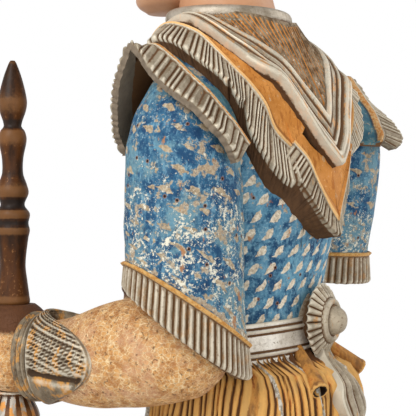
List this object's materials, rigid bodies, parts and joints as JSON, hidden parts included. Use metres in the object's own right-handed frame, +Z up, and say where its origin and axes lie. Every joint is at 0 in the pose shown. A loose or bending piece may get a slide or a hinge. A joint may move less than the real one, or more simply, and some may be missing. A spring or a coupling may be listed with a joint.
{
  "type": "carved wooden nat figure",
  "caption": "Standing carved and painted wooden court figure in a tiered fluted cape, belt and long skirt, holding an upright turned staff, on a low plinth.",
  "frame": {"origin": "on the plinth's underside, below the middle of the figure's waist", "axes": "+Z up, the figure faces -Y, its left arm is at +X"},
  "size_m": [0.4, 0.42, 1.2303],
  "materials": {
    "painted_wood": "distressed blue paint over a pale ground on carved wood",
    "silver_leaf": "worn silver leaf on carved wood",
    "orange_paint": "worn orange gilding paint on carved wood",
    "bare_wood": "dark rough bare wood",
    "skin_paint": "crackled flesh paint on carved wood",
    "hair_lacquer": "black lacquer on carved wood",
    "staff_lacquer": "dark brown lacquer worn to amber",
    "plinth_wood": "dark red paint worn at the edges"
  },
  "bodies": {
    "root": {"figure": "painted_wood", "left_arm": "painted_wood", "right_arm": "painted_wood", "staff": "staff_lacquer", "plinth": "plinth_wood"}
  },
  "joints": []
}
